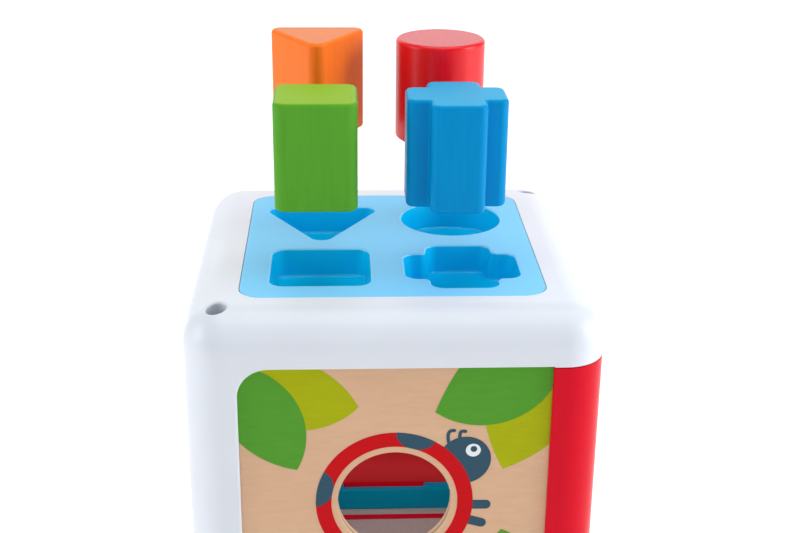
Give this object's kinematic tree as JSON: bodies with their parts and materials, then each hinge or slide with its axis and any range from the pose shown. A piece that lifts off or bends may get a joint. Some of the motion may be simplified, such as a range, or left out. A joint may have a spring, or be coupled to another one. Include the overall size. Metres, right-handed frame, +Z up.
{
  "type": "shape sorter",
  "caption": "Rounded toy cube with a pocketed top tray, wooden side panels, a round posting hole, a hinged rear door and lift-out shaped wooden blocks.",
  "frame": {"origin": "centre of the underside, on the surface that the box stands on", "axes": "+Z up, -Y towards the front panel with the round hole, +X to the right as seen from the front"},
  "size_m": [0.15, 0.15, 0.227],
  "materials": {
    "white_plastic": "satin moulded plastic",
    "red_plastic": "glossy moulded plastic",
    "blue_plastic": "glossy moulded plastic",
    "plywood": "fine-sanded plywood with a printed picture on the front",
    "floor_board": "painted white",
    "steel": "zinc plated",
    "green_paint": "satin painted wood",
    "blue_paint": "satin painted wood",
    "orange_paint": "satin painted wood",
    "red_paint": "satin painted wood"
  },
  "bodies": {
    "box": {"white_shell": "white_plastic", "red_shell": "red_plastic", "pocket_tray": "blue_plastic", "front_panel": "plywood", "left_panel": "plywood", "right_panel": "plywood", "floor_plate_front": "floor_board", "floor_plate_rear": "floor_board", "threshold_rail": "blue_plastic", "hinge_pin_top": "steel", "hinge_pin_base": "steel", "shell_screw_top_front": "steel", "shell_screw_top_rear": "steel", "shell_screw_base_front": "steel", "shell_screw_base_rear": "steel", "tray_screw_front_left": "steel", "tray_screw_front_right": "steel", "tray_screw_rear_left": "steel", "tray_screw_rear_right": "steel"},
    "door": {"rear_door": "red_plastic"},
    "latch": {"latch_knob": "blue_plastic", "latch_tongue": "blue_plastic", "latch_screw": "steel"},
    "square_block": {"block_square": "green_paint"},
    "plus_block": {"block_plus": "blue_paint"},
    "triangle_block": {"block_triangle": "orange_paint"},
    "cylinder_block": {"block_cylinder": "red_paint"}
  },
  "joints": [
    {"name": "door_hinge", "type": "hinge", "parent": "box", "child": "door", "pos_m": [0.0514, 0.07, 0.075], "axis": [0, 0, -1], "range_deg": [0, 110]},
    {"name": "latch_turn", "type": "hinge", "parent": "door", "child": "latch", "pos_m": [-0.038, 0.07, 0.114], "axis": [0, -1, 0], "range_deg": [0, 90]},
    {"name": "square_lift", "type": "slide", "parent": "box", "child": "square_block", "axis": [-0.0297, 0, 0.9996], "range_m": [-0.03702, 0.02]},
    {"name": "plus_lift", "type": "slide", "parent": "box", "child": "plus_block", "axis": [-0.0915, 0, 0.9958], "range_m": [-0.03716, 0.02]},
    {"name": "triangle_lift", "type": "slide", "parent": "box", "child": "triangle_block", "axis": [-0.0232, 0, 0.9997], "range_m": [-0.04751, 0.02]},
    {"name": "cylinder_lift", "type": "slide", "parent": "box", "child": "cylinder_block", "axis": [-0.1216, 0, 0.9926], "range_m": [-0.04604, 0.02]}
  ]
}
